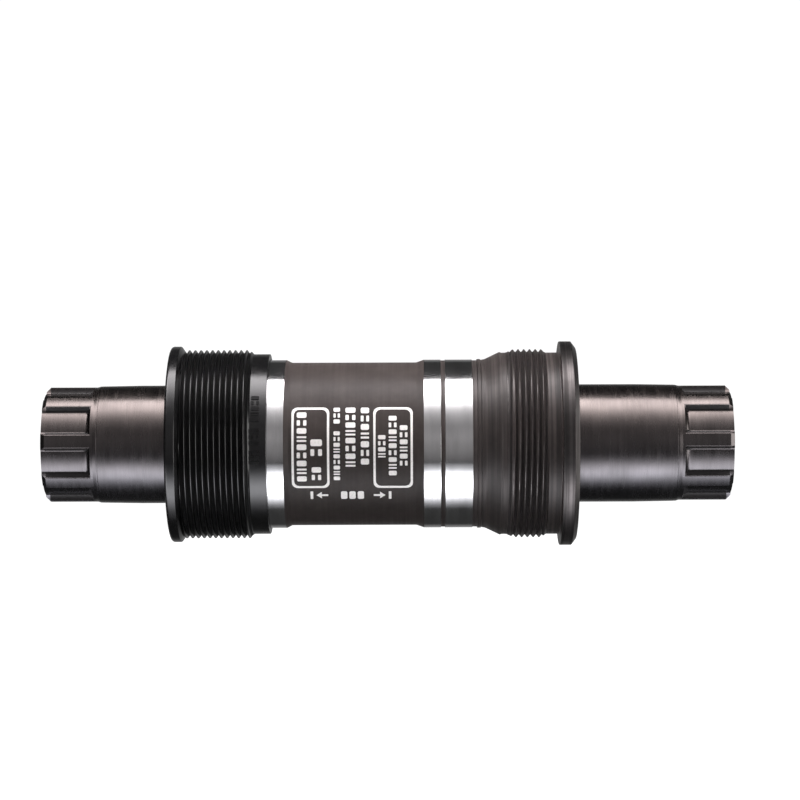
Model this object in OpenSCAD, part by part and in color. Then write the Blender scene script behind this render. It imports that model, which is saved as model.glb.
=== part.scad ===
// Cartridge bottom bracket for a threaded bicycle shell, with a hollow eight-spline spindle.
// Frame: +X along the spindle towards the drive side, +Z up, origin on the spindle's axis at
// the middle of the shell. All sizes are in millimetres.

/* [Shell] */
// Width of the bicycle frame's shell, face to face
shell_width = 68; // [66:0.5:73]
// Major diameter of the shell's thread, 1.37 inch
thread_major_d = 34.8; // [34.7:0.05:34.9]
// Threads per inch
thread_tpi = 24; // [24:1:26]

/* [Spindle] */
// Length of the spindle, end to end
spindle_length = 126; // [113:0.5:130]
// How far the spindle's middle lies towards the drive side
spindle_offset = 2.5; // [0:0.25:4]
// Diameter of the spindle where the bearings sit
spindle_d = 21.7; // [21.6:0.05:21.8]
// Diameter of the spindle at the shoulder that the crank stops against
shoulder_d = 21.45; // [21.3:0.05:21.5]
// Bore through the middle of the spindle
spindle_bore_d = 13; // [11:0.5:13.5]
// Chamfer on each end of the spindle
spindle_chamfer = 0.78; // [0.3:0.02:1]

/* [Crank splines] */
// Number of splines at each end
spline_count = 8; // [8:1:8]
// Diameter over the splines
spline_d = 21.1; // [20.9:0.05:21.2]
// Diameter at the floor of the gullets
spline_root_d = 18.75; // [18.6:0.05:19.2]
// Length of a gullet, including its curved closed end
spline_length = 9; // [8:0.25:11]
// Length of the plain collar between the gullets and the shoulder's edge
spline_collar = 1.05; // [0.6:0.05:1.2]
// Radius of the gullet's curved closed end
gullet_end_r = 1.2; // [1:0.1:1.2]
// Half of the angle that a gullet takes at its mouth
gullet_mouth_half = 16.05; // [15:0.05:16.5]
// Half of the angle that a gullet takes at its floor
gullet_floor_half = 14; // [13:0.1:14.5]
// Angle of the front spline above the horizontal
spline_phase = 4; // [0:1:44]

/* [Crank bolts] */
// Major diameter of the crank bolt's thread
bolt_major_d = 15; // [14.8:0.1:15]
// Pitch of the crank bolt's thread
bolt_pitch = 1; // [1:0.05:1.1]
// Whole turns of thread in each end of the spindle
bolt_turns = 13; // [8:1:14]
// Depth of the plain mouth before the thread
bolt_mouth = 1.5; // [1:0.1:2]

/* [Drive-side cup] */
// Diameter of the flange
flange_d = 37.6; // [36.5:0.1:39]
// Thickness of the flange's rim
flange_rim = 2; // [1.5:0.1:2.5]
// Depth of the chamfer on the flange's face
flange_chamfer_x = 1; // [0.5:0.1:1.5]
// Radial size of the chamfer on the flange's face
flange_chamfer_r = 1.28; // [0.5:0.02:1.4]
// Length of the thread relief behind the flange
cup_relief = 2.7; // [2:0.1:3]
// Turns of thread on the cup
cup_turns = 6; // [5:1:6]
// Diameter of the relief and of the pilot land in front of the thread
pilot_d = 33.5; // [33:0.1:33.8]
// Length of the pilot land
pilot_length = 1.15; // [0.8:0.05:1.3]
// Length of the cone between the pilot land and the body
cup_cone = 2.8; // [2:0.1:2.9]

/* [Left adapter cup] */
// Diameter of the adapter's rim
rim_d = 36.1; // [35.8:0.1:37]
// Gap between the shell's face and the start of the adapter's thread
rim_gap = 0.9; // [0.6:0.1:1]
// Length of the rim, from its face to the end of its inner chamfer
rim_length = 2.5; // [2:0.1:3]
// Length of the chamfer between the rim and the thread
rim_chamfer = 0.8; // [0.5:0.1:1]
// Turns of thread on the adapter
adapter_turns = 11; // [9:1:11]
// Diameter of the plain band at the inner end
band_d = 33.1; // [32.8:0.1:33.4]
// Length of the plain band
band_length = 3.5; // [3:0.1:4]

/* [Centre sleeve] */
// Diameter of the ground seats at both ends of the sleeve
seat_d = 31; // [30.8:0.05:31.1]
// Diameter of the printed tube between the seats
tube_d = 30; // [29.8:0.1:30.4]
// Length of the left seat that shows beside the adapter
left_seat_shown = 3; // [2:0.1:4]
// Length of the slopes between the tube and its seats
seat_slope = 1; // [0.5:0.05:1.6]
// Length of the right-hand seat, to the joint groove
right_seat_length = 2.9; // [2.5:0.1:3.2]
// Width of each of the two grooves around the body
groove_width = 1.1; // [0.8:0.05:1.2]
// Depth of the two grooves
groove_depth = 0.35; // [0.2:0.05:0.4]

/* [Bearings] */
// Ball diameter, 3/32 inch
ball_d = 2.381; // [2.3:0.001:2.4]
// Number of balls in each bearing
ball_count = 22; // [16:1:22]
// Width of the inner and outer races
race_width = 7; // [6.8:0.1:7]
// Diameter over the outer races
race_od = 28.8; // [28.8:0.1:29]

/* [Tool splines] */
// Number of teeth inside each cup
tool_teeth = 20; // [20:1:20]
// Diameter over the tips of the teeth, measured across the recess
tool_tip_d = 29.6; // [29.4:0.1:29.8]
// Diameter at the bottom of the tooth spaces
tool_root_d = 31.6; // [31.2:0.1:31.7]

/* [Hidden] */

$fn = 128;
LEFT = -1;
RIGHT = 1;
CUT = 0.5; // how far a cutter reaches past the solid it cuts

steel_dark = [0.27, 0.25, 0.24];
steel_phosphate = [0.25, 0.22, 0.20];
steel_ground = [0.72, 0.72, 0.72];
resin_black = [0.04, 0.04, 0.045];
rubber_black = [0.07, 0.07, 0.07];
cage_green = [0.20, 0.32, 0.24];

right_face = shell_width / 2;
left_face = -shell_width / 2;

// Thread: rings at the true pitch and major diameter
inch = 25.4;
thread_pitch = inch / thread_tpi;
thread_r = thread_major_d / 2;
thread_land = 0.57;
thread_depth = 0.47;

// Spindle
spindle_r = spindle_d / 2;
spindle_half = spindle_length / 2;
spline_r = spline_d / 2;
shoulder_at = spindle_half - spline_length - spline_collar;
shoulder_fall = 0.7;
taper_length = 7.6;
bore_r = spindle_bore_d / 2;
bolt_r = bolt_major_d / 2 - 0.55;
bolt_land = 0.56;
bolt_depth = 0.4;
mouth_r = bolt_major_d / 2 + 0.05;
mouth_chamfer = 0.45;

// Bearings
groove_slack = 0.04;
pitch_r = 12.65;
inner_race_r = 11.95;
outer_race_bore_r = 13.3;
race_r = race_od / 2;
race_chamfer = 0.25;
seal_seat_r = 13.7;
seal_seat_depth = 0.9;
bearing_seal_thick = 0.6;
bearing_seal_in = 0.15;
bearing_seal_gap = 0.1;
cage_gap = 0.15;
cage_width = 3.5;
pocket_slack = 0.06;

// Places along X
adapter_outer = left_face - rim_gap - rim_length;
adapter_thread_start = left_face - rim_gap;
adapter_thread_end = adapter_thread_start + adapter_turns * thread_pitch + thread_land;
adapter_inner = adapter_thread_end + band_length;
sleeve_left = left_face + 3;
left_bearing = sleeve_left + 7.2;
right_bearing = right_face - 12.5;
left_slope_start = adapter_inner + left_seat_shown;
joint_x = right_face - 21.45;
right_slope_end = joint_x - groove_width / 2 - right_seat_length;
cup_thread_end = right_face - cup_relief;
cup_thread_start = cup_thread_end - cup_turns * thread_pitch - thread_land;
flange_face = right_face + flange_rim + flange_chamfer_x;

// Sleeve and cup
seat_r = seat_d / 2;
sleeve_bore_r = 13.7;
spigot_r = race_r;
spigot_bore_r = 13.2;
spigot_length = 4;
fit_slack = 0.05;
edge = 0.25;
rim_edge = 0.5;
pilot_r = pilot_d / 2;
body_groove_at = right_face - 16.1;
body_groove_width = 0.9;
body_ring = 0.7;
body_ring_r = seat_r + 0.1;

// Tool recess
recess_stop = 0.8;
tool_space_width = 2.7;
tool_space_narrowing = 0.25;
recess_chamfer = 0.5;

// Retaining rings and end seals
ring_width = 1;
ring_groove_slack = 0.06;
ring_groove_r = spindle_r - 0.45;
ring_seat_gap = 0.03;
ring_outer_r = 12.1;
ring_gap = 5;
ring_hole_r = 0.35;
seal_start = 1.35;
carrier_length = 2.3;
carrier_wall = 0.45;
carrier_web = 0.6;
carrier_eye_r = 12.7;
lip_tip_r = spindle_r + 0.06;
lip_body_r = race_r - carrier_wall;

// Points of a ring thread from start, as [radius, x]. A positive depth cuts towards the axis.
function ring_thread(start, turns, pitch, r, land, depth) = [
    for (i = [0 : turns])
        each i < turns
            ? [
                [r, start + i * pitch],
                [r, start + i * pitch + land],
                [r - depth, start + i * pitch + (land + pitch) / 2]
            ]
            : [[r, start + i * pitch], [r, start + i * pitch + land]]
];

function backwards(points) = [for (i = [len(points) - 1 : -1 : 0]) points[i]];

// The same points with x counted the other way, so that one half describes both ends.
function flipped(points) = backwards([for (p = points) [p[0], -p[1]]]);

// Turns an outline of [radius, x] points about the X axis.
module lathe(points) {
    rotate([0, 90, 0]) rotate_extrude() polygon(points);
}

module tube_x(r_out, r_in, x_from, x_to) {
    lathe([[r_in, x_from], [r_out, x_from], [r_out, x_to], [r_in, x_to]]);
}

// A child drawn round +X at the given angle, from straight down towards the rear.
module around_x(angle) {
    rotate([-angle, 0, 0]) children();
}

// --- Spindle -------------------------------------------------------------------------------

// Outside of one half of the spindle, from its middle outwards.
spindle_half_outside = [
    [spindle_r, 0],
    [spindle_r, shoulder_at - taper_length],
    [shoulder_d / 2, shoulder_at],
    [spline_r, shoulder_at + shoulder_fall],
    [spline_r, spindle_half - spindle_chamfer],
    [spline_r - spindle_chamfer, spindle_half]
];

bolt_thread_end = spindle_half - bolt_mouth;
bolt_thread_start = bolt_thread_end - bolt_turns * bolt_pitch - bolt_land;

// Inside of one half of the spindle, from its middle outwards.
spindle_half_inside = concat(
    [[bore_r, 0], [bore_r, bolt_thread_start - 0.6]],
    ring_thread(bolt_thread_start, bolt_turns, bolt_pitch, bolt_r, bolt_land, -bolt_depth),
    [
        [mouth_r, bolt_thread_end + 0.3],
        [mouth_r, spindle_half - mouth_chamfer],
        [mouth_r + mouth_chamfer, spindle_half]
    ]
);

// The wedge that one gullet takes out, long enough to pass the spindle's end.
module gullet_wedge() {
    mouth_y = spline_r * sin(gullet_mouth_half);
    mouth_z = spline_r * cos(gullet_mouth_half);
    floor_y = spline_root_d / 2 * sin(gullet_floor_half);
    floor_z = spline_root_d / 2 * cos(gullet_floor_half);
    slant = (mouth_y - floor_y) / (mouth_z - floor_z);
    top_z = spline_r + 2;
    bottom_z = floor_z - 1;
    rotate([90, 0, 90])
        linear_extrude(spline_length + CUT)
            polygon([
                [-floor_y - slant * (top_z - floor_z), top_z],
                [-floor_y - slant * (bottom_z - floor_z), bottom_z],
                [floor_y + slant * (bottom_z - floor_z), bottom_z],
                [floor_y + slant * (top_z - floor_z), top_z]
            ]);
}

// The space between the gullets' floor and the outside, closed at its inner end by an arc.
module gullet_space() {
    root_r = spline_root_d / 2;
    steps = 8;
    closed_end = [
        for (i = [0 : steps])
            let (a = 90 * i / steps)
            [root_r + gullet_end_r * (1 - sin(a)), gullet_end_r * (1 - cos(a))]
    ];
    outside = spline_r + 2;
    lathe(concat(
        [[outside, 0]],
        closed_end,
        [[root_r, spline_length + CUT], [outside, spline_length + CUT]]
    ));
}

module gullets() {
    for (i = [0 : spline_count - 1])
        rotate([-spline_phase + 90 + (i + 0.5) * 360 / spline_count, 0, 0])
            intersection() {
                gullet_wedge();
                gullet_space();
            }
}

module spindle() {
    color(steel_dark)
        difference() {
            translate([spindle_offset, 0, 0])
                difference() {
                    lathe(concat(
                        flipped(spindle_half_outside),
                        spindle_half_outside,
                        backwards(spindle_half_inside),
                        backwards(flipped(spindle_half_inside))
                    ));
                    translate([spindle_half - spline_length, 0, 0]) gullets();
                    mirror([1, 0, 0]) translate([spindle_half - spline_length, 0, 0]) gullets();
                }
            retaining_groove(LEFT);
            retaining_groove(RIGHT);
        }
}

function bearing_at(side) = side == LEFT ? left_bearing : right_bearing;

// Where the retaining ring starts, just outboard of the inner race.
function ring_at(side) = bearing_at(side) + side * race_width / 2;

module retaining_groove(side) {
    from = ring_at(side);
    to = from + side * (ring_width + ring_groove_slack);
    tube_x(spindle_r + CUT, ring_groove_r, min(from, to), max(from, to));
}

// --- Housing -------------------------------------------------------------------------------

module center_sleeve() {
    groove_r = seat_r - groove_depth;
    groove_start = joint_x - groove_width / 2;
    shoulder_x = left_bearing + race_width / 2;
    socket_x = joint_x - spigot_length;
    color(steel_phosphate)
        lathe([
            [race_r, sleeve_left],
            [seat_r - edge, sleeve_left],
            [seat_r, sleeve_left + edge],
            [seat_r, left_slope_start],
            [tube_d / 2, left_slope_start + seat_slope],
            [tube_d / 2, right_slope_end - seat_slope],
            [seat_r, right_slope_end],
            [seat_r, groove_start],
            [groove_r, groove_start],
            [groove_r, joint_x],
            [spigot_r, joint_x],
            [spigot_r, socket_x],
            [sleeve_bore_r, socket_x],
            [sleeve_bore_r, shoulder_x],
            [race_r, shoulder_x]
        ]);
}

// One tooth space of a tool recess, pointing up, from x = 0 to x = depth.
module tool_space(depth) {
    half = tool_space_width / 2;
    inside_r = tool_tip_d / 2 - 1;
    rotate([90, 0, 90])
        linear_extrude(depth)
            polygon([
                [-half, inside_r],
                [-half + tool_space_narrowing, tool_root_d / 2],
                [half - tool_space_narrowing, tool_root_d / 2],
                [half, inside_r]
            ]);
}

// The 20 tooth spaces from x_from to x_to.
module tool_spaces(x_from, x_to) {
    for (i = [0 : tool_teeth - 1])
        translate([x_from, 0, 0])
            around_x(i * 360 / tool_teeth)
                tool_space(x_to - x_from);
}

module drive_side_cup() {
    groove_r = seat_r - groove_depth;
    seal_end = right_bearing + race_width / 2 + seal_start + carrier_length;
    cone_start = cup_thread_start - pilot_length - cup_cone;
    shoulder_x = right_bearing - race_width / 2;
    teeth_end = seal_end + recess_stop;
    color(steel_phosphate)
        difference() {
            lathe(concat(
                [
                    [spigot_bore_r, joint_x - spigot_length],
                    [spigot_r - edge, joint_x - spigot_length],
                    [spigot_r, joint_x - spigot_length + edge],
                    [spigot_r, joint_x],
                    [groove_r, joint_x],
                    [groove_r, joint_x + groove_width / 2],
                    [seat_r, joint_x + groove_width / 2],
                    [seat_r, body_groove_at],
                    [groove_r, body_groove_at],
                    [groove_r, body_groove_at + body_groove_width],
                    [body_ring_r, body_groove_at + body_groove_width],
                    [body_ring_r, body_groove_at + body_groove_width + body_ring],
                    [seat_r, body_groove_at + body_groove_width + body_ring],
                    [seat_r, cone_start],
                    [pilot_r, cone_start + cup_cone],
                    [pilot_r, cup_thread_start - 0.1]
                ],
                ring_thread(cup_thread_start, cup_turns, thread_pitch, thread_r,
                    thread_land, thread_depth),
                [
                    [pilot_r, cup_thread_end + 0.2],
                    [pilot_r, right_face],
                    [flange_d / 2, right_face],
                    [flange_d / 2, right_face + flange_rim],
                    [flange_d / 2 - flange_chamfer_r, flange_face],
                    [tool_tip_d / 2 + recess_chamfer, flange_face],
                    [tool_tip_d / 2, flange_face - recess_chamfer],
                    [tool_tip_d / 2, seal_end],
                    [race_r, seal_end],
                    [race_r, shoulder_x],
                    [spigot_bore_r, shoulder_x]
                ]
            ));
            tool_spaces(teeth_end, flange_face + CUT);
        }
}

module left_adapter_cup() {
    shoulder_x = sleeve_left - 0.1;
    bore = seat_r + fit_slack;
    color(resin_black)
        difference() {
            lathe(concat(
                [
                    [tool_tip_d / 2 + recess_chamfer, adapter_outer],
                    [rim_d / 2 - rim_edge, adapter_outer],
                    [rim_d / 2, adapter_outer + rim_edge],
                    [rim_d / 2, adapter_thread_start - rim_chamfer],
                    [thread_r, adapter_thread_start - 0.05]
                ],
                ring_thread(adapter_thread_start, adapter_turns, thread_pitch, thread_r,
                    thread_land, thread_depth),
                [
                    [band_d / 2, adapter_thread_end + 0.1],
                    [band_d / 2, adapter_inner - edge],
                    [band_d / 2 - edge, adapter_inner],
                    [bore + edge, adapter_inner],
                    [bore, adapter_inner - edge],
                    [bore, shoulder_x],
                    [tool_tip_d / 2, shoulder_x],
                    [tool_tip_d / 2, adapter_outer + recess_chamfer]
                ]
            ));
            tool_spaces(adapter_outer - CUT, shoulder_x - recess_stop);
        }
}

// --- Bearings ------------------------------------------------------------------------------

module at_bearing(side) {
    translate([bearing_at(side), 0, 0]) children();
}

// The track that the balls run in, shared by both races.
module ball_track() {
    rotate([0, 90, 0])
        rotate_extrude()
            translate([pitch_r, 0])
                circle(r = ball_d / 2 + groove_slack, $fn = 48);
}

module outer_race(side) {
    half = race_width / 2;
    color(steel_ground)
        at_bearing(side)
            difference() {
                lathe([
                    [seal_seat_r, -half],
                    [race_r - race_chamfer, -half],
                    [race_r, -half + race_chamfer],
                    [race_r, half - race_chamfer],
                    [race_r - race_chamfer, half],
                    [seal_seat_r, half],
                    [seal_seat_r, half - seal_seat_depth],
                    [outer_race_bore_r, half - seal_seat_depth],
                    [outer_race_bore_r, -half + seal_seat_depth],
                    [seal_seat_r, -half + seal_seat_depth]
                ]);
                ball_track();
            }
}

module inner_race(side) {
    half = race_width / 2;
    color(steel_ground)
        at_bearing(side)
            difference() {
                lathe([
                    [spindle_r, -half],
                    [inner_race_r - race_chamfer, -half],
                    [inner_race_r, -half + race_chamfer],
                    [inner_race_r, half - race_chamfer],
                    [inner_race_r - race_chamfer, half],
                    [spindle_r, half]
                ]);
                ball_track();
            }
}

module bearing_balls(side) {
    color(steel_ground)
        at_bearing(side)
            for (i = [0 : ball_count - 1])
                around_x(i * 360 / ball_count)
                    translate([0, 0, pitch_r])
                        sphere(d = ball_d, $fn = 32);
}

module ball_cage(side) {
    r_in = inner_race_r + cage_gap;
    r_out = outer_race_bore_r - cage_gap;
    color(cage_green)
        at_bearing(side)
            difference() {
                tube_x(r_out, r_in, -cage_width / 2, cage_width / 2);
                for (i = [0 : ball_count - 1])
                    around_x(i * 360 / ball_count)
                        translate([0, 0, r_in - CUT])
                            cylinder(r = ball_d / 2 + pocket_slack, h = r_out - r_in + 2 * CUT, $fn = 32);
            }
}

// One seal of a bearing. outward is RIGHT for the seal on the bearing's +X side.
module bearing_seal(side, outward) {
    far = race_width / 2 - bearing_seal_in;
    near = far - bearing_seal_thick;
    lip = inner_race_r + bearing_seal_gap;
    outline = [
        [lip, near + 0.1],
        [lip + 0.35, near],
        [seal_seat_r, near],
        [seal_seat_r, far],
        [seal_seat_r - 0.3, far],
        [seal_seat_r - 0.5, far - 0.2],
        [lip + 0.35, far - 0.2],
        [lip, far - 0.3]
    ];
    color(rubber_black)
        at_bearing(side)
            lathe(outward == RIGHT ? outline : flipped(outline));
}

module inner_spacer() {
    color(steel_dark)
        tube_x(spindle_r + 0.85, spindle_r + 0.1,
            left_bearing + race_width / 2, right_bearing - race_width / 2);
}

// Open ring with an eye at each end, in the spindle's groove outboard of the inner race.
module retaining_ring(side) {
    from = ring_at(side);
    to = from + side * ring_width;
    eye_r = ring_outer_r - 0.6;
    eye_angle = 20;
    color(steel_dark)
        difference() {
            tube_x(ring_outer_r, ring_groove_r + ring_seat_gap, min(from, to), max(from, to));
            translate([min(from, to) - CUT, -ring_gap / 2, 0])
                cube([ring_width + 2 * CUT, ring_gap, ring_outer_r + CUT]);
            for (end = [LEFT, RIGHT])
                around_x(end * eye_angle)
                    translate([min(from, to) - CUT, 0, eye_r])
                        rotate([0, 90, 0])
                            cylinder(r = ring_hole_r, h = ring_width + 2 * CUT, $fn = 24);
        }
}

// Sheet-steel case of the end seal, with its open side towards the bearing.
module seal_carrier(side) {
    from = bearing_at(side) + side * (race_width / 2 + seal_start);
    to = from + side * carrier_length;
    web = to - side * carrier_web;
    color(steel_dark)
        lathe([
            [lip_body_r, from],
            [race_r, from],
            [race_r, to - side * edge],
            [race_r - edge, to],
            [carrier_eye_r, to],
            [carrier_eye_r, web],
            [lip_body_r, web]
        ]);
}

// Rubber seal moulded in its case, with a lip and a dust lip round the spindle.
module lip_seal(side) {
    from = bearing_at(side) + side * (race_width / 2 + seal_start);
    web = from + side * (carrier_length - carrier_web);
    color(rubber_black)
        lathe([
            [lip_body_r, from + side * 0.2],
            [lip_body_r, web],
            [carrier_eye_r, web],
            [carrier_eye_r, web + side * 0.4],
            [lip_tip_r + 0.5, web + side * 0.4],
            [lip_tip_r, web + side * 0.25],
            [lip_tip_r, web],
            [lip_tip_r + 0.35, web - side * 0.3],
            [lip_tip_r + 0.35, web - side * 0.7],
            [lip_tip_r, web - side * 0.9],
            [lip_tip_r, web - side * 1.1],
            [lip_tip_r + 0.55, web - side * 1.3],
            [lip_tip_r + 0.95, web - side * 0.7],
            [lip_body_r - 0.5, web - side * 0.7],
            [lip_body_r - 0.5, from + side * 0.2]
        ]);
}

module left_outer_race() { outer_race(LEFT); }
module right_outer_race() { outer_race(RIGHT); }
module left_inner_race() { inner_race(LEFT); }
module right_inner_race() { inner_race(RIGHT); }
module left_bearing_balls() { bearing_balls(LEFT); }
module right_bearing_balls() { bearing_balls(RIGHT); }
module left_ball_cage() { ball_cage(LEFT); }
module right_ball_cage() { ball_cage(RIGHT); }
module left_bearing_seal_outboard() { bearing_seal(LEFT, LEFT); }
module left_bearing_seal_inboard() { bearing_seal(LEFT, RIGHT); }
module right_bearing_seal_outboard() { bearing_seal(RIGHT, RIGHT); }
module right_bearing_seal_inboard() { bearing_seal(RIGHT, LEFT); }
module left_retaining_ring() { retaining_ring(LEFT); }
module right_retaining_ring() { retaining_ring(RIGHT); }
module left_seal_carrier() { seal_carrier(LEFT); }
module right_seal_carrier() { seal_carrier(RIGHT); }
module left_lip_seal() { lip_seal(LEFT); }
module right_lip_seal() { lip_seal(RIGHT); }

spindle();
center_sleeve();
drive_side_cup();
left_adapter_cup();
left_outer_race();
left_inner_race();
left_bearing_balls();
left_ball_cage();
left_bearing_seal_outboard();
left_bearing_seal_inboard();
right_outer_race();
right_inner_race();
right_bearing_balls();
right_ball_cage();
right_bearing_seal_outboard();
right_bearing_seal_inboard();
inner_spacer();
left_retaining_ring();
right_retaining_ring();
left_seal_carrier();
right_seal_carrier();
left_lip_seal();
right_lip_seal();
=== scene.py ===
from math import atan2, ceil, cos, degrees, pi, radians, sin, sqrt, tan

import bmesh
import bpy
import numpy as np
from mathutils import Matrix, Vector


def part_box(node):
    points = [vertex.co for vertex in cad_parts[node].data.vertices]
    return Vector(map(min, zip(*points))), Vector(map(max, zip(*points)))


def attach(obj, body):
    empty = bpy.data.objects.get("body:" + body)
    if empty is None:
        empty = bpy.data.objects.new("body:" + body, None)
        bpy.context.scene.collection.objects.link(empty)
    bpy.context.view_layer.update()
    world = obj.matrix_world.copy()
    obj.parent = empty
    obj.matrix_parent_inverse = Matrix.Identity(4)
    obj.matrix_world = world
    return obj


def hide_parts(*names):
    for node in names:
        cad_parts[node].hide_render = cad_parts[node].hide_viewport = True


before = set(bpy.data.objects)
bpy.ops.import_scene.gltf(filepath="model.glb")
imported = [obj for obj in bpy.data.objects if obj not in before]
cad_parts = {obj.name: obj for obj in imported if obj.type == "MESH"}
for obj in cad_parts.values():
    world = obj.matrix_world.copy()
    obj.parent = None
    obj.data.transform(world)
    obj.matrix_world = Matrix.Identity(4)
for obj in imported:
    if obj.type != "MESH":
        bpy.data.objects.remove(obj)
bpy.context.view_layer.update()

MM = 0.001

# --- Sizes, from the CAD frame ----------------------------------------------------------------


def span(node):
    """Lowest and highest x of a CAD node, in mm."""
    low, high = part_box(node)
    return low.x / MM, high.x / MM


def reach(node):
    """Largest radius of a CAD node about the spindle's axis, in mm."""
    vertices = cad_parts[node].data.vertices
    return max(sqrt(v.co.y**2 + v.co.z**2) for v in vertices) / MM


SPINDLE_LEFT, SPINDLE_RIGHT = span("spindle")
ADAPTER_LEFT, ADAPTER_RIGHT = span("left_adapter_cup")
SLEEVE_LEFT, SLEEVE_RIGHT = span("center_sleeve")
CUP_LEFT, CUP_RIGHT = span("drive_side_cup")
FLANGE_R = reach("drive_side_cup")
RIM_R = reach("left_adapter_cup")
SEAT_R = reach("center_sleeve")
SPINDLE_R = reach("spindle")

# Sizes that the frame's boxes don't give.
FLANGE_LENGTH = 3
RIGHT_FACE = CUP_RIGHT - FLANGE_LENGTH
THREAD_PITCH = 25.4 / 24
THREAD_R = 17.4
THREAD_ROOT_R = 16.76
BAND_R = 16.6
TUBE_R = 15.0
BEARING_BORE_R = 14.4
GROOVE_R = SEAT_R - 0.14

# --- Turned skins -----------------------------------------------------------------------------

AROUND = 180
EVEN_TURN = [2 * pi * i / AROUND for i in range(AROUND)]
ROUND_SHARE = 0.42  # Most of a side that a round may take up.
LEAD_SHARE = 0.2  # Most of the side's rest that may part the round from its support point.
ROUND_STEP = 18  # Degrees of a round between two points.
STRAIGHT_HALF = 88  # Half of the angle from which a corner counts as straight.
MERGE_DISTANCE = 5e-7
TINY_EDGE = 1e-8
SHARP_ANGLE = 32


def fillet(before, corner, after, size):
    """Points of a round of radius size at a corner, with a support point each side."""
    p = Vector(corner)
    u, v = Vector(before) - p, Vector(after) - p
    shortest = min(u.length, v.length)
    u.normalize()
    v.normalize()
    half = u.angle(v) / 2
    if half > radians(STRAIGHT_HALF):
        return [tuple(p)]
    run = min(size / tan(half), ROUND_SHARE * shortest)
    size = run * tan(half)
    centre = p + (u + v).normalized() * (size / sin(half))
    start, end = p + u * run, p + v * run
    steps = max(2, ceil(degrees(pi - 2 * half) / ROUND_STEP))
    a, b = start - centre, end - centre
    turn = a.angle_signed(b)
    arc = [centre + Matrix.Rotation(-turn * k / steps, 2) @ a for k in range(steps + 1)]
    lead = min(0.5 * run, LEAD_SHARE * (shortest - run))
    return [tuple(q) for q in [start + u * lead, *arc, end + v * lead]]


def outline(corners, closed=False):
    """Corners of (x, r) or (x, r, round) as points, with the rounds drawn in."""
    points = []
    count = len(corners)
    for k, corner in enumerate(corners):
        inside = closed or 0 < k < count - 1
        if len(corner) == 3 and inside:
            before, after = corners[k - 1][:2], corners[(k + 1) % count][:2]
            points += fillet(before, corner[:2], after, corner[2])
        else:
            points.append(tuple(corner[:2]))
    return points


class Skin:
    """The closed skin of a piece turned about the X axis, made of bands of rings."""

    def __init__(self, angles=EVEN_TURN):
        self.angles = angles
        self.points = []
        self.faces = []
        self.marks = []

    def rows(self, rows):
        """Adds rings, each an (x values, radii) pair of lists, and returns their first indices."""
        starts = []
        for xs, rs in rows:
            starts.append(len(self.points))
            for a, x, r in zip(self.angles, xs, rs):
                self.points.append((x * MM, -r * cos(a) * MM, r * sin(a) * MM))
        return starts

    def strip(self, lower, upper, mark):
        """Faces between two rings, without the seam."""
        for i in range(len(self.angles) - 1):
            self.faces.append((lower + i, lower + i + 1, upper + i + 1, upper + i))
            self.marks.append(mark)

    def seam(self, lower, upper, lower_next, upper_next, mark):
        """The face that closes the turn."""
        last = len(self.angles) - 1
        self.faces.append((lower + last, lower_next, upper_next, upper + last))
        self.marks.append(mark)

    def turn(self, lower, upper, mark=0):
        """Faces all the way round between two rings."""
        self.strip(lower, upper, mark)
        self.seam(lower, upper, lower, upper, mark)

    def annulus(self, x, inner, outer):
        """A flat ring at x, between two lists of radii."""
        flat = [x] * len(self.angles)
        self.turn(*self.rows([(flat, inner), (flat, outer)]))

    def band(self, points, shape=None, closed=False, marks=None):
        """Rings through (x, r) points. shape(x, r, angle) gives the radius where it isn't round."""
        shape = shape or (lambda x, r, a: r)
        starts = self.rows([([x] * len(self.angles), [shape(x, r, a) for a in self.angles])
                            for x, r in points])
        pairs = list(zip(starts, starts[1:]))
        middles = [(p[0] + q[0]) / 2 for p, q in zip(points, points[1:])]
        if closed:
            pairs.append((starts[-1], starts[0]))
            middles.append((points[-1][0] + points[0][0]) / 2)
        for (low, high), x in zip(pairs, middles):
            self.turn(low, high, marks(x) if marks else 0)

    def thread(self, x_from, x_to, radius_at, pitch, fractions, hand=1, marks=None):
        """A helical thread, right-hand where hand is 1. radius_at(x, fraction) is its surface."""
        per_turn = len(fractions)
        turns = ceil((x_to - x_from) / pitch)
        rows = []
        for j in range(-per_turn, (turns + 1) * per_turn + 1):
            whole, part = divmod(j, per_turn)
            along = [whole + fractions[part] - hand * a / (2 * pi) for a in self.angles]
            xs = [min(max(x_from + pitch * u, x_from), x_to) for u in along]
            rows.append((xs, [radius_at(x, fractions[part]) for x in xs]))
        starts = self.rows(rows)
        top = len(starts) - 1
        for j in range(top):
            mark = marks[j % per_turn] if marks else 0
            self.strip(starts[j], starts[j + 1], mark)
            ahead = [starts[min(max(k - hand * per_turn, 0), top)] for k in (j, j + 1)]
            self.seam(starts[j], starts[j + 1], *ahead, mark)

    def piece(self, name, materials, body, nodes, slot):
        """The finished object, riding on its body in place of its CAD nodes."""
        return finished(name, self.points, self.faces, self.marks, materials, body, nodes)


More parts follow.
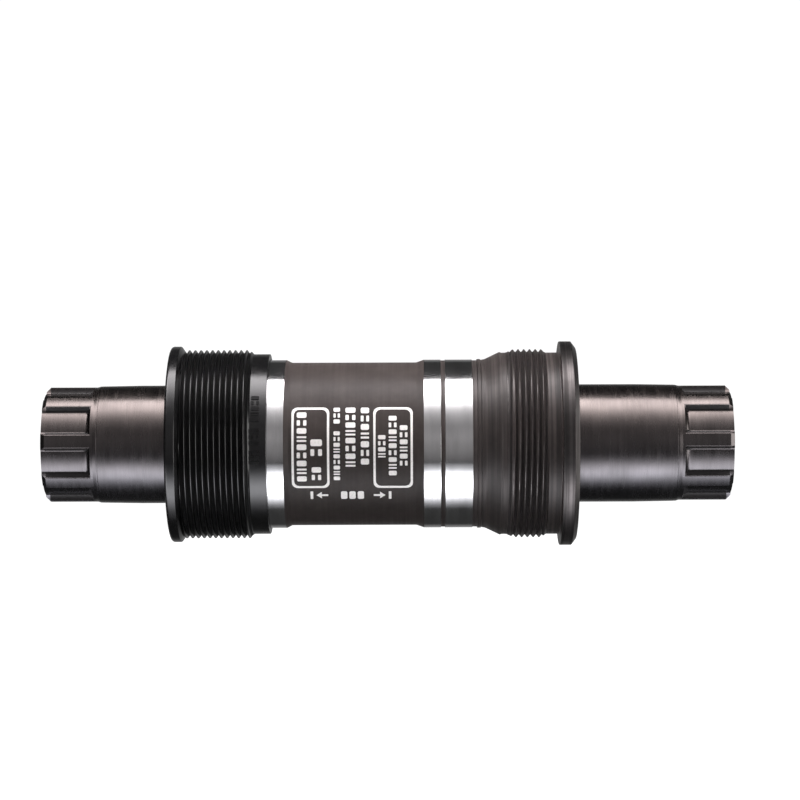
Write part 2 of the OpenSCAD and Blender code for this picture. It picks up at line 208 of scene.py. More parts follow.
def finished(name, points, faces, marks, materials, body, nodes):
    """A smooth object made of points and faces, each face marked with its material's number."""
    mesh = bpy.data.meshes.new(name)
    mesh.from_pydata(points, [], faces)
    for material in materials:
        mesh.materials.append(material)
    mesh.polygons.foreach_set("material_index", marks)
    work = bmesh.new()
    work.from_mesh(mesh)
    bmesh.ops.remove_doubles(work, verts=work.verts, dist=MERGE_DISTANCE)
    bmesh.ops.dissolve_degenerate(work, edges=work.edges, dist=TINY_EDGE)
    bmesh.ops.recalc_face_normals(work, faces=work.faces)
    work.to_mesh(mesh)
    work.free()
    mesh.shade_smooth()
    mesh.set_sharp_from_angle(angle=radians(SHARP_ANGLE))
    piece = bpy.data.objects.new(name, mesh)
    bpy.context.scene.collection.objects.link(piece)
    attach(piece, body)
    if nodes:
        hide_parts(*nodes)
    return piece


# --- Materials --------------------------------------------------------------------------------

NOISE_LOW, NOISE_HIGH = 0.3, 0.7  # Most of a noise's values lie between these.
MIX_FACTOR, COLOUR_A, COLOUR_B, COLOUR_OUT = 0, 6, 7, 2  # Sockets of a Mix node for colours.
NUMBER_A, NUMBER_B, NUMBER_OUT = 2, 3, 0  # Sockets of a Mix node for numbers.


def grey(value):
    return value, value, value


def times(colour, factor):
    return tuple(factor * c for c in colour)


class Nodes:
    """Short names for building one material's node tree."""

    def __init__(self, name):
        self.material = bpy.data.materials.new(name)
        self.material.use_nodes = True
        self.tree = self.material.node_tree
        self.shader = self.tree.nodes["Principled BSDF"]

    def add(self, kind, **values):
        node = self.tree.nodes.new(kind)
        for key, value in values.items():
            setattr(node, key, value)
        return node

    def link(self, source, target):
        self.tree.links.new(source, target)

    def place(self, scale):
        """Object coordinates in mm, stretched by scale along each axis."""
        coords = self.add("ShaderNodeTexCoord")
        mapping = self.add("ShaderNodeMapping")
        mapping.inputs["Scale"].default_value = [s / MM for s in scale]
        self.link(coords.outputs["Object"], mapping.inputs["Vector"])
        return mapping.outputs["Vector"]

    def noise(self, scale, detail=4.0, roughness=0.55):
        """Noise with scale cells to the mm along each axis."""
        node = self.add("ShaderNodeTexNoise")
        node.inputs["Scale"].default_value = 1.0
        node.inputs["Detail"].default_value = detail
        node.inputs["Roughness"].default_value = roughness
        self.link(self.place(scale), node.inputs["Vector"])
        return node.outputs["Fac"]

    def across(self, axis, low_mm, high_mm):
        """0 to 1 along one axis of the object."""
        coords = self.add("ShaderNodeTexCoord")
        split = self.add("ShaderNodeSeparateXYZ")
        node = self.add("ShaderNodeMapRange")
        node.inputs["From Min"].default_value = low_mm * MM
        node.inputs["From Max"].default_value = high_mm * MM
        self.link(coords.outputs["Object"], split.inputs["Vector"])
        self.link(split.outputs[axis], node.inputs["Value"])
        return node.outputs["Result"]

    def between(self, value, low, high):
        """A noise spread over low to high."""
        node = self.add("ShaderNodeMapRange")
        node.inputs["From Min"].default_value = NOISE_LOW
        node.inputs["From Max"].default_value = NOISE_HIGH
        node.inputs["To Min"].default_value = low
        node.inputs["To Max"].default_value = high
        self.link(value, node.inputs["Value"])
        return node.outputs["Result"]

    def ramp(self, value, *stops):
        """Colour by value, through (position, colour) stops."""
        node = self.add("ShaderNodeValToRGB")
        ramp = node.color_ramp
        while len(ramp.elements) < len(stops):
            ramp.elements.new(0.5)
        for element, (position, colour) in zip(ramp.elements, stops):
            element.position = position
            element.color = (*colour, 1)
        self.link(value, node.inputs["Fac"])
        return node.outputs["Color"]

    def mix(self, factor, a, b, blend="MIX"):
        """Two colours mixed. Each value is a number or the socket that gives it."""
        node = self.add("ShaderNodeMix", data_type="RGBA", blend_type=blend)
        for value, index in ((factor, MIX_FACTOR), (a, COLOUR_A), (b, COLOUR_B)):
            if isinstance(value, (int, float)):
                node.inputs[index].default_value = value
            else:
                self.link(value, node.inputs[index])
        return node.outputs[COLOUR_OUT]

    def bump(self, height, depth_mm, normal=None):
        node = self.add("ShaderNodeBump")
        node.inputs["Strength"].default_value = 1.0
        node.inputs["Distance"].default_value = depth_mm * MM
        self.link(height, node.inputs["Height"])
        if normal is not None:
            self.link(normal, node.inputs["Normal"])
        return node.outputs["Normal"]

    def finish(self, colour, roughness, normal, metallic, specular=0.5):
        """The material, with its shader's sockets filled in."""
        shader = self.shader
        self.link(colour, shader.inputs["Base Color"])
        self.link(roughness, shader.inputs["Roughness"])
        self.link(normal, shader.inputs["Normal"])
        shader.inputs["Metallic"].default_value = metallic
        shader.inputs["Specular IOR Level"].default_value = specular
        return self.material


def spindle_steel():
    """Dark ground steel, brushed round the axis, with random blotches of tone and painted light:
    warmer towards the top and cooler, a little darker, towards the bottom.
    """
    n = Nodes("spindle_steel")
    lines = n.noise((5, 0.04, 0.04))
    blotch = n.noise((0.16, 0.16, 0.16), detail=2, roughness=0.5)
    warm = n.ramp(blotch, (0.30, (0.074, 0.064, 0.061)), (0.70, (0.102, 0.088, 0.083)))
    cool = n.ramp(blotch, (0.30, (0.072, 0.070, 0.074)), (0.70, (0.096, 0.093, 0.100)))
    # Painted light: the colour runs from the cool blotches at the bottom to the warm blotches at
    # the top.
    painted_light_tint = n.mix(n.across("Z", -7, 5), cool, warm)
    shade = n.ramp(lines, (0.35, grey(0.60)), (0.65, grey(1)))
    colour = n.mix(0.2, painted_light_tint, shade, "MULTIPLY")
    rough = n.between(n.noise((1.2, 0.15, 0.15), detail=3), 0.22, 0.30)
    normal = n.bump(lines, 0.0008)
    return n.finish(colour, rough, n.bump(blotch, 0.01, normal), 1.0)


def phosphate_steel(name, tone, turning, metallic, specular):
    """Dark conversion coat: satin, faintly mottled, with turned lines under it."""
    n = Nodes(name)
    cloud = n.noise((0.22, 0.22, 0.22), detail=6, roughness=0.65)
    grain = n.noise((14, 14, 14), detail=3)
    turned = n.noise((7, 0.05, 0.05), detail=5, roughness=0.7)
    streak = n.noise((1.7, 0.02, 0.02), detail=4, roughness=0.65)
    coat = n.ramp(cloud, (0.30, times(tone, 0.82)), (0.70, times(tone, 1.18)))
    speck = n.ramp(grain, (0.40, grey(0.85)), (0.65, grey(1)))
    lines = n.ramp(streak, (0.36, grey(0.36)), (0.50, grey(0.82)), (0.62, grey(1.4)))
    colour = n.mix(turning, n.mix(0.6, coat, speck, "MULTIPLY"), lines, "MULTIPLY")
    rough = n.between(streak, 0.44, 0.32)
    normal = n.bump(turned, 0.003)
    return n.finish(colour, rough, n.bump(grain, 0.002, normal), metallic, specular)


def ground_steel():
    """Bright ground land: fine lines round the axis and a few faint stains."""
    n = Nodes("ground_steel")
    lines = n.noise((16, 0.03, 0.03), detail=6, roughness=0.6)
    stain = n.noise((0.35, 0.12, 0.12), detail=3, roughness=0.5)
    tone = n.ramp(stain, (0.32, grey(0.58)), (0.6, grey(0.68)))
    shade = n.ramp(lines, (0.35, (0.75, 0.75, 0.76)), (0.65, grey(1)))
    colour = n.mix(0.25, tone, shade, "MULTIPLY")
    rough = n.between(stain, 0.12, 0.15)
    return n.finish(colour, rough, n.bump(lines, 0.0015), 1.0)


def black_resin():
    """Moulded glass-filled resin: near black, semi-gloss, with a fine flow grain."""
    n = Nodes("black_resin")
    flow = n.noise((0.5, 0.9, 0.9), detail=5)
    grain = n.noise((2.5, 2.5, 2.5), detail=3)
    colour = n.ramp(flow, (0.3, (0.0025, 0.0025, 0.003)), (0.7, grey(0.005)))
    rough = n.between(flow, 0.19, 0.25)
    return n.finish(colour, rough, n.bump(grain, 0.002), 0.0)


def plain(name, scale, low, high, rough, depth_mm, metallic, detail=5, roughness=0.55,
          specular=0.5):
    """A material whose colour, roughness and bumps all follow one noise.

    low and high are the ramp's (position, colour) stops, rough the lowest and highest roughness.
    """
    n = Nodes(name)
    cloud = n.noise(scale, detail, roughness)
    normal = n.bump(cloud, depth_mm)
    return n.finish(n.ramp(cloud, low, high), n.between(cloud, *rough), normal, metallic, specular)


def painted_root_shade(name, tone):
    """Painted shade for a thread's roots: a dark, dull material in place of the shade that falls
    there.
    """
    return plain(name, (1.5, 0.6, 0.6), (0.3, times(tone, 0.8)), (0.7, times(tone, 1.2)),
                 (0.40, 0.60), 0.002, 0.0, specular=0.15)


SPINDLE, GROUND, RESIN = spindle_steel(), ground_steel(), black_resin()
COAT = phosphate_steel("cup_coat", (0.052, 0.0435, 0.041), 0.9, 0.12, 0.25)
FLANGE_COAT = phosphate_steel("flange_coat", (0.062, 0.057, 0.056), 0.8, 1.0, 0.5)
TUBE_COAT = phosphate_steel("tube_coat", (0.055, 0.046, 0.043), 0.1, 0.0, 0.12)
# Painted shade on the thread roots of the cup and of the adapter.
COAT_ROOT_SHADE = painted_root_shade("coat_root_shade", (0.020, 0.017, 0.0165))
RESIN_ROOT_SHADE = painted_root_shade("resin_root_shade", (0.003, 0.003, 0.003))
# Painted shade on the gullets' side walls: dark, dull steel where shade falls.
WALL_SHADE = plain("painted_wall_shade", (2, 2, 2), (0.3, (0.006, 0.005, 0.005)), (0.7, (0.012, 0.010, 0.010)),
              (0.38, 0.55), 0.002, 0.0, specular=0.2)
# Coated steel rubbed bright along a thread's crests.
CREST = plain("worn_crest", (0.9, 0.35, 0.35), (0.38, (0.03, 0.027, 0.026)),
              (0.62, (0.085, 0.080, 0.078)), (0.36, 0.26), 0.002, 1.0, roughness=0.7)
# Off-white pad print, a little worn.
INK = plain("print_ink", (3, 3, 3), (0.30, (0.70, 0.67, 0.64)), (0.48, (0.94, 0.92, 0.89)),
            (0.60, 0.48), 0.003, 0.18, roughness=0.7)
# Matt black nitrile with a dusty bloom.
RUBBER = plain("seal_rubber", (0.8, 0.8, 0.8), (0.3, grey(0.012)), (0.75, (0.035, 0.034, 0.033)),
               (0.60, 0.78), 0.01, 0.0, detail=6)
# Pressed sheet steel with a dull zinc coat.
CASE = plain("case_steel", (1.2, 1.2, 1.2), (0.3, (0.26, 0.26, 0.27)), (0.7, (0.38, 0.38, 0.39)),
             (0.36, 0.52), 0.004, 1.0)
# Hardened and ground race steel.
RACE = plain("bearing_steel", (12, 0.05, 0.05), (0.3, (0.55, 0.55, 0.56)),
             (0.7, (0.72, 0.72, 0.73)), (0.16, 0.28), 0.002, 1.0, detail=6, roughness=0.7)
# Polished balls with the faintest smear of grease.
BALL = plain("ball_steel", (1.5, 1.5, 1.5), (0.3, (0.74, 0.74, 0.75)), (0.7, (0.86, 0.86, 0.87)),
             (0.04, 0.12), 0.0005, 1.0, detail=4)
# Green moulded nylon.
CAGE = plain("cage_nylon", (1, 1, 1), (0.3, (0.045, 0.12, 0.07)), (0.7, (0.06, 0.16, 0.095)),
             (0.42, 0.55), 0.006, 0.0, detail=4)
# Blackened spring steel.
SPRING = plain("spring_steel", (1.5, 1.5, 1.5), (0.3, (0.09, 0.085, 0.085)),
               (0.7, (0.15, 0.145, 0.145)), (0.34, 0.48), 0.004, 1.0)
# Steel tube, drawn along X and lightly oiled.
TUBE = plain("drawn_tube", (0.08, 5, 5), (0.3, (0.30, 0.29, 0.28)), (0.7, (0.42, 0.41, 0.40)),
             (0.28, 0.42), 0.003, 1.0, roughness=0.7)

# --- Spindle ----------------------------------------------------------------------------------

SPLINE_COUNT = 8
SECTOR = 360 / SPLINE_COUNT
SPLINE_R = 10.55
SPLINE_ROOT_R = 9.375
SPLINE_LENGTH = 9.0
SPLINE_PHASE = 4
SPINDLE_CHAMFER = 0.78
END_FACE_R = 9.0  # Where the end face's outer and inner parts meet.
SHOULDER_R = 10.725
SHOULDER_IN = 10.05
TAPER_LENGTH = 7.6
END_PART = 22  # The length at each end that isn't a plain cylinder.
BOLT_R, BOLT_ROOT_R, BOLT_MOUTH_R = 6.95, 7.5, 7.55
BOLT_PITCH = 1.0
BOLT_MOUTH = 1.5
BOLT_LEAD = 0.25
BOLT_LENGTH = 13.6
MOUTH_CHAMFER_X, MOUTH_CHAMFER_R = 0.45, 0.5
MIDDLE_BORE_R = 6.5
MIDDLE_BORE_LEAD = 1
BOLT_FRACTIONS = [0, 0.1, 0.2, 0.35, 0.5, 0.62, 0.75, 0.88]
BOLT_HEIGHTS = [1, 0.97, 0.75, 0.42, 0.08, 0, 0.08, 0.55]

FLOOR_HALF, MOUTH_HALF = 14, 16.05
FLOOR_BLEND, EDGE_BLEND = 1.0, 0.12
GULLET_END = 1.2
GULLET_RISE = 6  # How steeply the closed end climbs once past its round.
GULLET_FADE = 0.4  # How far past the closed end the gullets are still looked for.
CUT_ABOVE_R = SPLINE_ROOT_R - 0.2  # Smaller rings, on the end faces, aren't cut.
GULLET_STATIONS = (0.015, 0.05, 0.12, 0.25, 0.45, 0.7, 0.95, 1.2, 1.5, 3.5, 6)
HALF_GULLET = [0, 4, 7.2, 8.8, 9.8, 10.7, 11.6, 12.5, 13.3, 14, 14.7, 15.2,
               15.55, 15.8, 16.05, 16.3, 16.6, 17.4, 19, 20.8]
# Where a gullet's side wall gets the painted shade: radii, degrees off the gullet's middle, and mm
# from its closed end.
WALL_LOW_R, WALL_HIGH_R = SPLINE_ROOT_R + 0.03, SPLINE_R - 0.12
WALL_FROM_DEG = 12
WALL_START = 0.2


def end_of(side):
    """x of the spindle's end, on the drive side where side is above 0."""
    return SPINDLE_RIGHT if side > 0 else SPINDLE_LEFT


def spindle_turn():
    """Angles round the spindle, closest together at the gullets' walls."""
    turn = []
    for k in range(SPLINE_COUNT):
        centre = SPLINE_PHASE + (k + 0.5) * SECTOR
        half = [centre + a for a in HALF_GULLET]
        turn += [centre - a for a in HALF_GULLET[:0:-1]] + half + [centre + SECTOR / 2]
    return [radians(a) for a in turn]


def off_middle(angle):
    """Degrees between an angle and the middle of the gullet that it falls in."""
    return abs((degrees(angle) - SPLINE_PHASE) % SECTOR - SECTOR / 2)


def blend_max(a, b, width):
    """The larger of two values, rounded over where they cross."""
    gap = max(0, 1 - abs(a - b) / width)
    return max(a, b) + width * gap * gap / 4


def wall_point(radius, half):
    """The point at a radius and at some degrees from the gullet's middle."""
    return Vector((radius * sin(radians(half)), radius * cos(radians(half))))


def wall_radius(off):
    """Radius where a gullet's straight wall crosses an angle from the gullet's middle."""
    mouth, floor = wall_point(SPLINE_R, MOUTH_HALF), wall_point(SPLINE_ROOT_R, FLOOR_HALF)
    slope = (mouth.x - floor.x) / (mouth.y - floor.y)
    at_axis = mouth.x - slope * mouth.y
    return at_axis / (sin(off) - slope * cos(off))


def gullet_radius(base, angle, along):
    """The outside's radius at an angle, at a distance from the gullets' closed end."""
    wall = wall_radius(radians(off_middle(angle)))
    deep = min(max(GULLET_END - along, 0), GULLET_END)
    rise = GULLET_END - sqrt(GULLET_END**2 - deep**2)
    closed = SPLINE_ROOT_R + rise + max(0, -along) * GULLET_RISE
    cut = max(blend_max(SPLINE_ROOT_R, wall, FLOOR_BLEND), closed)
    return -blend_max(-base, -cut, EDGE_BLEND)


def spindle_shape(x, r, a):
    """The outside's radius at an angle, with the gullets cut into both ends."""
    along = SPLINE_LENGTH - abs(end_of(x) - x)
    return gullet_radius(r, a, along) if along > -GULLET_FADE and r > CUT_ABOVE_R else r


def spindle_outside(side):
    """The outside from the plain middle to one end, as (x, r) points."""
    end = end_of(side)
    start = end - side * SPLINE_LENGTH
    shoulder = end - side * SHOULDER_IN
    rows = outline([
        (end - side * END_PART, SPINDLE_R),
        (shoulder - side * TAPER_LENGTH, SPINDLE_R, 3),
        # A fine line turned just inside the shoulder.
        (shoulder - side * 0.28, SHOULDER_R + 0.01, 0.05),
        (shoulder - side * 0.22, SHOULDER_R - 0.05, 0.03),
        (shoulder - side * 0.14, SHOULDER_R, 0.05),
        # The shoulder falls to the collar beside the gullets.
        (shoulder, SHOULDER_R, 0.15),
        (shoulder + side * 0.6, SPLINE_R, 0.4),
        (start, SPLINE_R),
    ])
    rows += [(start + side * along, SPLINE_R) for along in GULLET_STATIONS]
    rim = outline([
        (end - side * 2.5, SPLINE_R),  # Only tells the first round its direction.
        (end - side * SPINDLE_CHAMFER, SPLINE_R, 0.12),
        (end, SPLINE_R - SPINDLE_CHAMFER, 0.1),
        (end, END_FACE_R),
    ])
    return rows + rim[1:]


def spindle_mouth(side):
    """The end face's inner part and the plain mouth, from the outside in."""
    end = end_of(side)
    return outline([
        (end, END_FACE_R),
        (end, BOLT_MOUTH_R + MOUTH_CHAMFER_R, 0.08),
        (end - side * MOUTH_CHAMFER_X, BOLT_MOUTH_R, 0.08),
        (end - side * BOLT_MOUTH, BOLT_MOUTH_R),
    ])


def bolt_thread(x_low, x_high):
    """Internal thread that fades in at its mouth and out at its floor."""
    height_of = dict(zip(BOLT_FRACTIONS, BOLT_HEIGHTS))

    def radius(x, fraction):
        edge = min(x - x_low, x_high - x)
        tooth = BOLT_ROOT_R - (BOLT_ROOT_R - BOLT_R) * height_of[fraction]
        return max(tooth, BOLT_ROOT_R - edge)

    return radius


def mark_shaded_walls(skin):
    """Marks the gullets' side walls for the painted shade, short of their closed ends and the
    chamfered rims.
    """
    for k, face in enumerate(skin.faces):
        middle = sum((Vector(skin.points[i]) for i in face), Vector()) / len(face) / MM
        r = Vector((middle.y, middle.z)).length
        off = off_middle(atan2(middle.z, -middle.y))
        from_end = min(SPINDLE_RIGHT - middle.x, middle.x - SPINDLE_LEFT)
        on_wall = WALL_LOW_R < r < WALL_HIGH_R and off > WALL_FROM_DEG
        if on_wall and SPINDLE_CHAMFER <= from_end < SPLINE_LENGTH - WALL_START:
            skin.marks[k] = 1


def make_spindle():
    """Hollow spindle: bearing seats, shoulders, eight splines at each end and bolt threads."""
    skin = Skin(spindle_turn())
    skin.band(spindle_outside(-1)[::-1] + spindle_outside(1), spindle_shape)
    floors = []
    for side in (-1, 1):
        mouth = end_of(side) - side * BOLT_MOUTH
        lead = mouth - side * BOLT_LEAD
        floors.append(mouth - side * BOLT_LENGTH)
        skin.band(spindle_mouth(side))
        skin.band([(mouth, BOLT_MOUTH_R), (lead, BOLT_ROOT_R)])
        x_low, x_high = sorted((lead, floors[-1]))
        skin.thread(x_low, x_high, bolt_thread(x_low, x_high), BOLT_PITCH, BOLT_FRACTIONS)
    left_floor, right_floor = floors
    skin.band(outline([
        (left_floor, BOLT_ROOT_R),
        (left_floor + MIDDLE_BORE_LEAD, MIDDLE_BORE_R, 0.2),
        (right_floor - MIDDLE_BORE_LEAD, MIDDLE_BORE_R, 0.2),
        (right_floor, BOLT_ROOT_R),
    ]))
    mark_shaded_walls(skin)
    skin.piece("splined_spindle", [SPINDLE, WALL_SHADE], "spindle", ["spindle"], "spindle_steel")


# --- Shell threads and tool recesses ----------------------------------------------------------

THREAD_FRACTIONS = [0, 0.05, 0.1, 0.16, 0.28, 0.4, 0.5, 0.6, 0.72, 0.84, 0.9, 0.95]
THREAD_DEPTHS = [0, 0.03, 0.12, 0.27, 0.57, 0.85, 1, 0.85, 0.57, 0.27, 0.12, 0.03]
GROUND_MARK, CREST_MARK, ROOT_SHADE_MARK, FLANGE_MARK = 1, 2, 3, 4
# The root faces take the painted shade.
THREAD_MARKS = [CREST_MARK] + 3 * [0] + 4 * [ROOT_SHADE_MARK] + 3 * [0] + [CREST_MARK]
RUN_IN_SLOPE = 1.5  # How steeply the first half turn's root drops from the land.
TOOL_TEETH = 20
TOOL_TIP_R, TOOL_SPACE_R = 14.8, 15.8
SPACE_STEPS = 4  # Steps of the turn that are tooth space, out of the 9 for each tooth.
RECESS_STOP = 0.8
RECESS_CHAMFER = 0.5


def shell_thread(x_low, x_high, r_low, r_high, rise_low, rise_high, root):
    """Whitworth-like surface that comes up out of r_low and r_high at its two ends."""
    depth_of = dict(zip(THREAD_FRACTIONS, THREAD_DEPTHS))

    def radius(x, fraction):
        tooth = THREAD_R - (THREAD_R - root) * depth_of[fraction]
        low = r_low + rise_low * (x - x_low)
        high = r_high + rise_high * (x_high - x)
        if x - x_low < THREAD_PITCH / 2:
            return min(max(tooth, r_low - RUN_IN_SLOPE * (x - x_low)), low, THREAD_R)
        return min(tooth, low, high) if x_high - x > 0 else r_high

    return radius


def tool_shape(x, r, a):
    """The recess's radius at an angle: one space beside each tooth."""
    step = round(a / (2 * pi) * AROUND) % (AROUND // TOOL_TEETH)
    return max(r, TOOL_SPACE_R) if step < SPACE_STEPS else r


def tool_recess(skin, face, side, teeth_end, face_r):
    """The toothed recess and the end face round it, which looks to the given side."""
    mouth_r = TOOL_TIP_R + RECESS_CHAMFER
    tips = [(teeth_end, TOOL_TIP_R), (face - side * RECESS_CHAMFER, TOOL_TIP_R), (face, mouth_r)]
    skin.band(tips, tool_shape)
    toothed, mouth = ([tool_shape(0, r, a) for a in skin.angles] for r in (TOOL_TIP_R, mouth_r))
    skin.annulus(teeth_end, [TOOL_TIP_R] * AROUND, toothed)
    skin.annulus(face, mouth, [face_r] * AROUND)


def make_adapter():
    """Black adapter cup: rim, right-hand shell thread, plain band, bore and tool recess."""
    skin = Skin()
    face, face_r, lead_r = ADAPTER_LEFT, 16.1, 17.05
    rim_length, rim_flat, band_length, bore_chamfer = 2.5, 1.8, 3, 0.3
    thread_low, thread_high = face + rim_length, ADAPTER_RIGHT - band_length
    bore = SEAT_R + 0.05
    stop = SLEEVE_LEFT - 0.1
    teeth_end = stop - RECESS_STOP
    surface = shell_thread(thread_low, thread_high, lead_r, BAND_R, 2, 1, THREAD_ROOT_R)
    skin.thread(thread_low, thread_high, surface, THREAD_PITCH, THREAD_FRACTIONS,
                hand=1, marks=THREAD_MARKS)
    skin.band(outline([
        (thread_high, BAND_R),
        (ADAPTER_RIGHT, BAND_R, 0.1),
        (ADAPTER_RIGHT, bore + bore_chamfer, 0.08),
        (ADAPTER_RIGHT - bore_chamfer, bore, 0.08),
        (stop, bore, 0.1),
        (stop, TOOL_TIP_R, 0.1),
        (teeth_end, TOOL_TIP_R),
    ]))
    tool_recess(skin, face, -1, teeth_end, face_r)
    skin.band(outline([
        (face, face_r),
        (face, RIM_R, 0.6),
        (face + rim_flat, RIM_R, 0.2),
        (thread_low, lead_r),
    ]))
    skin.piece("adapter_cup", [RESIN, RESIN, RESIN, RESIN_ROOT_SHADE], "left_adapter",
               ["left_adapter_cup"], "adapter_resin")


def make_cup():
    """Drive-side cup: spigot, ground band, cone, left-hand shell thread, flange and recess."""
    skin = Skin()
    face, face_r = CUP_RIGHT, 16.2
    joint = RIGHT_FACE - 21.45
    thread_low, thread_high = RIGHT_FACE - 9.85, RIGHT_FACE - 2.5
    land_r = 16.75
    spigot_bore_r = 13.2
    race_middle, race_half, seal_gap, seal_length = 12.5, 3.5, 1.35, 2.3
    bearing_low = RIGHT_FACE - race_middle - race_half
    seal_end = RIGHT_FACE - race_middle + race_half + seal_gap + seal_length
    teeth_end = seal_end + RECESS_STOP
    surface = shell_thread(thread_low, thread_high, land_r, land_r, 0.42, 0.8, land_r + 0.1)
    skin.thread(thread_low, thread_high, surface, THREAD_PITCH, THREAD_FRACTIONS,
                hand=-1, marks=THREAD_MARKS)
    skin.band(outline([
        (thread_high, land_r),
        (RIGHT_FACE, land_r, 0.25),
        (RIGHT_FACE, FLANGE_R, 0.12),
        (RIGHT_FACE + 2.15, FLANGE_R, 0.2),
        (face, FLANGE_R - 1.15, 0.15),
        (face, face_r),
    ]), marks=lambda x: FLANGE_MARK if x > RIGHT_FACE else 0)
    tool_recess(skin, face, 1, teeth_end, face_r)
    skin.band(outline([
        (teeth_end, TOOL_TIP_R),
        (seal_end, TOOL_TIP_R, 0.1),
        (seal_end, BEARING_BORE_R),
        (bearing_low, BEARING_BORE_R, 0.1),
        (bearing_low, spigot_bore_r, 0.15),
        (CUP_LEFT, spigot_bore_r, 0.15),
        (CUP_LEFT, BEARING_BORE_R, 0.25),
        (joint, BEARING_BORE_R),
    ]))
    band_from, band_to = joint + 0.4, RIGHT_FACE - 16.05
    edge = 0.03  # Left coated at both edges of the ground band.
    skin.band(outline([
        (joint, BEARING_BORE_R),
        (joint, GROOVE_R),
        (band_from, GROOVE_R, 0.1),
        (band_from, SEAT_R, 0.12),
        # The groove beside the ground band, and a low ring beside the groove.
        (band_to, SEAT_R, 0.12),
        (band_to + 0.05, GROOVE_R, 0.1),
        (band_to + 0.9, GROOVE_R, 0.1),
        (band_to + 0.9, SEAT_R + 0.1, 0.1),
        (band_to + 1.55, SEAT_R + 0.08, 0.1),
        (band_to + 1.65, SEAT_R - 0.08, 0.06),
        (band_to + 1.9, SEAT_R, 0.1),
        # The cone up to the thread's pilot land.
        (thread_low - 3.9, SEAT_R + 0.05, 2.5),
        (thread_low - 1.15, land_r + 0.12, 0.15),
        (thread_low - 0.75, land_r, 0.15),
        (thread_low, land_r),
    ]), marks=lambda x: GROUND_MARK if band_from + edge < x < band_to - edge else 0)
    skin.piece("flanged_cup", [COAT, GROUND, CREST, COAT_ROOT_SHADE, FLANGE_COAT], "cartridge",
               ["drive_side_cup"], "cup_steel")


def make_sleeve():
    """Printed centre sleeve with a ground seat at each end."""
    skin = Skin()
    joint, groove_from = SLEEVE_RIGHT, SLEEVE_RIGHT - 0.35
    left_seat_end = ADAPTER_RIGHT + 3
    groove_half, right_seat_length = 0.55, 2.9
    right_seat = joint - groove_half - right_seat_length
    left_slope, right_slope = 1, 1.4
    left_pocket, right_pocket = SLEEVE_LEFT + 10.7, joint - 4
    middle_bore_r = 13.7
    points = outline([
        (SLEEVE_LEFT, BEARING_BORE_R, 0.1),
        (SLEEVE_LEFT, SEAT_R, 0.3),
        (left_seat_end, SEAT_R, 0.3),
        (left_seat_end + left_slope, TUBE_R, 0.8),
        (right_seat - right_slope, TUBE_R, 0.8),
        (right_seat, SEAT_R, 0.3),
        (groove_from, SEAT_R, 0.1),
        (groove_from, GROOVE_R, 0.05),
        (joint, GROOVE_R),
        (joint, BEARING_BORE_R),
        (right_pocket, BEARING_BORE_R, 0.1),
        (right_pocket, middle_bore_r, 0.1),
        (left_pocket, middle_bore_r, 0.1),
        (left_pocket, BEARING_BORE_R, 0.1),
    ], closed=True)

    def seats(x):
        """GROUND_MARK on the two ground seats, 0 on the coated steel."""
        on_seat = x < left_seat_end or right_seat < x < groove_from - 0.02
        return GROUND_MARK if on_seat else 0

    skin.band(points, closed=True, marks=seats)
    skin.piece("printed_sleeve", [TUBE_COAT, GROUND], "cartridge", ["center_sleeve"],
               "sleeve_steel")


# --- Print and moulded marks ------------------------------------------------------------------

SUNK = 0.02  # How far a mark's foot lies below the surface that it stands on.
CORNER_CUT = 0.18  # Share of a block's shorter side that its corners lose.
CORNER_POINTS = 6
BLOCK_SHARE = 0.7  # Share of each step down a column that its block fills.
HALF_WIDTH, HALF_HEIGHT = 0.34, 0.24  # Halves of a split block, as shares of width and step.
LABEL_HEIGHT = 0.025
LABEL_FRAMES = ((-14.7, -7.9), (0.0, 7.1))
FRAME_FOOT_DEG, FRAME_TOP_DEG = -31.1, 26.7
FRAME_CORNER, FRAME_LINE = 1.1, 0.42
# Columns of blocks: x from and to, degrees above the front from and to, and their number.
LABEL_COLUMNS = (
    (-13.75, -12.0, 23, -27.5, 9),
    (-11.3, -9.2, 4, -9.4, 2),
    (-11.1, -9.4, -15.3, -26.5, 2),
    (-7.15, -6.0, 26.5, 13.6, 3),
    (-7.15, -6.0, 9.5, -26.1, 9),
    (-5.0, -3.2, 26.5, -16.6, 8),
    (-2.25, -0.75, 26.5, -15.3, 7),
    (0.85, 2.2, 6.8, -9.8, 4),
    (2.75, 4.2, 20.3, -22.8, 9),
    (4.75, 6.15, 13.6, -15.8, 6),
)
# The row under the frames: three blocks, and an arrow with a bar before its tip on each side.
ROW_FOOT_DEG, ROW_MIDDLE_DEG, ROW_TOP_DEG = -40.6, -37.2, -33.9
ROW_BLOCKS = ((-5.9, -4.75), (-4.4, -3.25), (-2.9, -1.75), (-11.4, -10.9), (2.7, 3.2))
ARROWS = ((-8.2, -10.3), (0.0, 2.1))
ARROW_WIDTH, ARROW_SHAFT, ARROW_POINT = 1.5, 0.42, 0.06
ARROW_HEAD = 0.45  # The shaft's share of an arrow's length.

TICK_HEIGHT = 0.14
TICK_FROM, TICK_TO = ADAPTER_RIGHT - 2.75, ADAPTER_RIGHT - 1.3
TICK_COLUMNS = ((32, 14, 5), (10.5, -1, 3), (-3.5, -13, 3))


